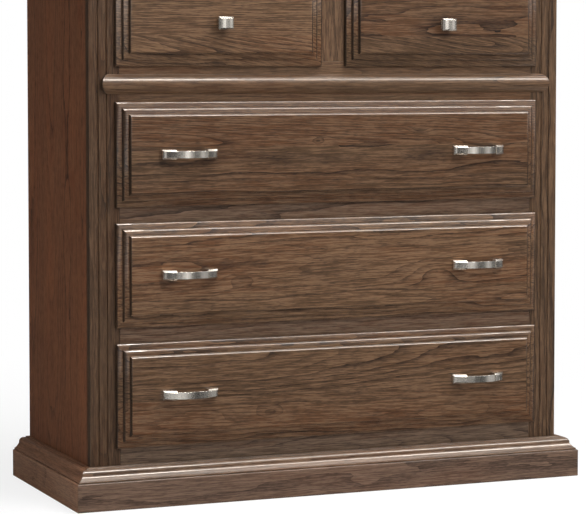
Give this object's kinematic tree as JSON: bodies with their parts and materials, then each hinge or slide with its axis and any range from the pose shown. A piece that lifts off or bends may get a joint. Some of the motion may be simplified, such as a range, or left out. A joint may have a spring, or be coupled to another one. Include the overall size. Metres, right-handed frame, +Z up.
{
  "type": "chest of drawers",
  "caption": "Stained oak chest of drawers: short drawers with square knobs above a half-round waist, long raised-block drawers with bowed pulls below, moulded plinth and top.",
  "frame": {"origin": "on the floor, under the middle of the chest's overall box", "axes": "+Z up; the front and the drawers face -Y; +X to the right for someone facing the front"},
  "size_m": [1.0726, 0.4634, 1.09],
  "materials": {
    "frame_oak": "satin grey-brown stain on oak",
    "front_oak": "satin brown stain on oak, grain across",
    "side_oak": "satin red-brown stain on oak, grain upright",
    "drawer_wood": "clear lacquer on maple",
    "plywood": "clear lacquer on plywood",
    "softwood": "planed softwood",
    "satin_nickel": "satin nickel plate",
    "zinc_steel": "bright zinc plate"
  },
  "bodies": {
    "case": {"back_panel": "plywood", "base_cap_front": "frame_oak", "base_cap_returns": "frame_oak", "case_floors": "plywood", "center_partition": "softwood", "center_stile": "frame_oak", "cornice": "frame_oak", "drawer_rails": "frame_oak", "left_side_panel": "side_oak", "left_stile": "frame_oak", "plinth_front": "frame_oak", "plinth_returns": "frame_oak", "right_side_panel": "side_oak", "right_stile": "frame_oak", "slide_cleats": "softwood", "slide_rails": "zinc_steel", "top_board": "frame_oak", "top_rail": "frame_oak", "waist_moulding": "frame_oak", "waist_rail": "frame_oak"},
    "left_short_drawer": {"left_short_drawer_back": "drawer_wood", "left_short_drawer_bottom": "plywood", "left_short_drawer_front": "front_oak", "left_short_drawer_knob": "satin_nickel", "left_short_drawer_screws": "zinc_steel", "left_short_drawer_sides": "drawer_wood", "left_short_drawer_slide_runners": "zinc_steel"},
    "left_short_drawer_carriers": {"left_short_drawer_slide_carriers": "zinc_steel"},
    "right_short_drawer": {"right_short_drawer_back": "drawer_wood", "right_short_drawer_bottom": "plywood", "right_short_drawer_front": "front_oak", "right_short_drawer_knob": "satin_nickel", "right_short_drawer_screws": "zinc_steel", "right_short_drawer_sides": "drawer_wood", "right_short_drawer_slide_runners": "zinc_steel"},
    "right_short_drawer_carriers": {"right_short_drawer_slide_carriers": "zinc_steel"},
    "upper_drawer": {"upper_drawer_back": "drawer_wood", "upper_drawer_bottom": "plywood", "upper_drawer_front": "front_oak", "upper_drawer_pulls": "satin_nickel", "upper_drawer_screws": "zinc_steel", "upper_drawer_sides": "drawer_wood", "upper_drawer_slide_runners": "zinc_steel"},
    "upper_drawer_carriers": {"upper_drawer_slide_carriers": "zinc_steel"},
    "middle_drawer": {"middle_drawer_back": "drawer_wood", "middle_drawer_bottom": "plywood", "middle_drawer_front": "front_oak", "middle_drawer_pulls": "satin_nickel", "middle_drawer_screws": "zinc_steel", "middle_drawer_sides": "drawer_wood", "middle_drawer_slide_runners": "zinc_steel"},
    "middle_drawer_carriers": {"middle_drawer_slide_carriers": "zinc_steel"},
    "lower_drawer": {"lower_drawer_back": "drawer_wood", "lower_drawer_bottom": "plywood", "lower_drawer_front": "front_oak", "lower_drawer_pulls": "satin_nickel", "lower_drawer_screws": "zinc_steel", "lower_drawer_sides": "drawer_wood", "lower_drawer_slide_runners": "zinc_steel"},
    "lower_drawer_carriers": {"lower_drawer_slide_carriers": "zinc_steel"}
  },
  "joints": [
    {"name": "left_short_drawer_slide", "type": "slide", "parent": "case", "child": "left_short_drawer", "axis": [0, -1, 0], "range_m": [0, 0.35]},
    {"name": "left_short_drawer_carrier_slide", "type": "slide", "parent": "case", "child": "left_short_drawer_carriers", "axis": [0, -1, 0], "range_m": [0, 0.175]},
    {"name": "right_short_drawer_slide", "type": "slide", "parent": "case", "child": "right_short_drawer", "axis": [0, -1, 0], "range_m": [0, 0.35]},
    {"name": "right_short_drawer_carrier_slide", "type": "slide", "parent": "case", "child": "right_short_drawer_carriers", "axis": [0, -1, 0], "range_m": [0, 0.175]},
    {"name": "upper_drawer_slide", "type": "slide", "parent": "case", "child": "upper_drawer", "axis": [0, -1, 0], "range_m": [0, 0.35]},
    {"name": "upper_drawer_carrier_slide", "type": "slide", "parent": "case", "child": "upper_drawer_carriers", "axis": [0, -1, 0], "range_m": [0, 0.175]},
    {"name": "middle_drawer_slide", "type": "slide", "parent": "case", "child": "middle_drawer", "axis": [0, -1, 0], "range_m": [0, 0.35]},
    {"name": "middle_drawer_carrier_slide", "type": "slide", "parent": "case", "child": "middle_drawer_carriers", "axis": [0, -1, 0], "range_m": [0, 0.175]},
    {"name": "lower_drawer_slide", "type": "slide", "parent": "case", "child": "lower_drawer", "axis": [0, -1, 0], "range_m": [0, 0.35]},
    {"name": "lower_drawer_carrier_slide", "type": "slide", "parent": "case", "child": "lower_drawer_carriers", "axis": [0, -1, 0], "range_m": [0, 0.175]}
  ],
  "couplings": [
    {"joint": "left_short_drawer_carrier_slide", "follows": "left_short_drawer_slide", "ratio": 0.5},
    {"joint": "right_short_drawer_carrier_slide", "follows": "right_short_drawer_slide", "ratio": 0.5},
    {"joint": "upper_drawer_carrier_slide", "follows": "upper_drawer_slide", "ratio": 0.5},
    {"joint": "middle_drawer_carrier_slide", "follows": "middle_drawer_slide", "ratio": 0.5},
    {"joint": "lower_drawer_carrier_slide", "follows": "lower_drawer_slide", "ratio": 0.5}
  ]
}
